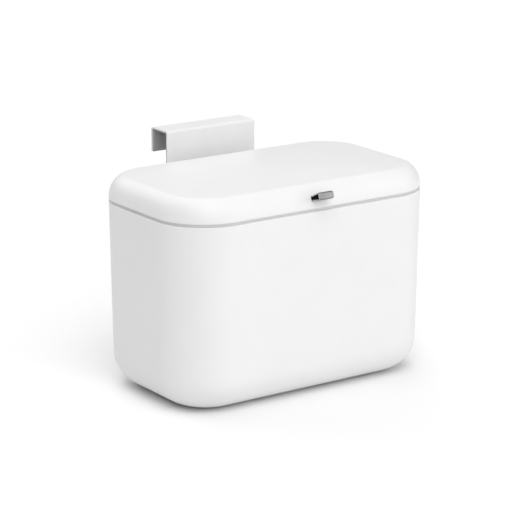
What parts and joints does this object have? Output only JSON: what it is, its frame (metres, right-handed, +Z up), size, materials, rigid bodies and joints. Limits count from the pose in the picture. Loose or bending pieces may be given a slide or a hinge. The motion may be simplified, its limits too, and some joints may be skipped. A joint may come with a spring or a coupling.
{
  "type": "over-door kitchen waste caddy",
  "caption": "White hanging kitchen waste caddy with a domed hinged lid, lift-out bucket, metal pull tab, odour filter and a folded hook for a cabinet door's top edge.",
  "frame": {"origin": "middle of the whole footprint, from pull tab to hook, on the surface that the feet stand on", "axes": "+Z up, -Y towards the front with the pull tab, +Y towards the door that the hook hangs on, +X to the right seen from the front"},
  "size_m": [0.25, 0.1892, 0.1981],
  "materials": {
    "white_plastic": "fine satin moulded surface",
    "grey_plastic": "satin moulded surface",
    "coated_steel": "white powder coat",
    "satin_steel": "fine brushed",
    "screw_steel": "turned, zinc plated",
    "hinge_zinc": "die cast, satin",
    "seal_silicone": "smooth silicone",
    "dark_rubber": "matte",
    "pad_foam": "fine closed-cell foam",
    "charcoal_felt": "needled felt"
  },
  "bodies": {
    "caddy": {"body_shell": "white_plastic", "hook_mount_plate": "white_plastic", "collar_frame": "grey_plastic", "inner_bucket": "grey_plastic", "hook_stud_left": "screw_steel", "hook_stud_right": "screw_steel", "hinge_bracket_screw_1": "screw_steel", "hinge_bracket_screw_2": "screw_steel", "hinge_bracket_screw_3": "screw_steel", "hinge_bracket_screw_4": "screw_steel", "mount_plate_screw_1": "screw_steel", "mount_plate_screw_2": "screw_steel", "mount_plate_screw_3": "screw_steel", "mount_plate_screw_4": "screw_steel", "hinge_bracket_left": "hinge_zinc", "hinge_bracket_right": "hinge_zinc", "rear_bumper_left": "dark_rubber", "rear_bumper_right": "dark_rubber", "foot_front_left": "dark_rubber", "foot_front_right": "dark_rubber", "foot_back_left": "dark_rubber", "foot_back_right": "dark_rubber"},
    "lid": {"lid_shell": "white_plastic", "lid_liner": "grey_plastic", "lid_seal": "seal_silicone", "liner_screw_1": "screw_steel", "liner_screw_2": "screw_steel", "liner_screw_3": "screw_steel", "liner_screw_4": "screw_steel", "hinge_pin_left": "screw_steel", "hinge_pin_right": "screw_steel", "pull_tab": "satin_steel", "tab_keeper": "satin_steel"},
    "filter_cover": {"filter_cover": "grey_plastic", "charcoal_filter": "charcoal_felt"},
    "hook": {"hook_bracket": "coated_steel", "hook_pad_front": "pad_foam", "hook_pad_top": "pad_foam", "hook_pad_back": "pad_foam"}
  },
  "joints": [
    {"name": "lid_hinge", "type": "hinge", "parent": "caddy", "child": "lid", "pos_m": [0, 0.05543, 0.1653], "axis": [-1, 0, 0], "range_deg": [0, 90]},
    {"name": "filter_twist", "type": "hinge", "parent": "lid", "child": "filter_cover", "pos_m": [0, -0.01757, 0.164], "axis": [0, 0, 1], "range_deg": [0, 30]},
    {"name": "hook_slide", "type": "slide", "parent": "caddy", "child": "hook", "axis": [0, 0, -1], "range_m": [0, 0.011]}
  ]
}
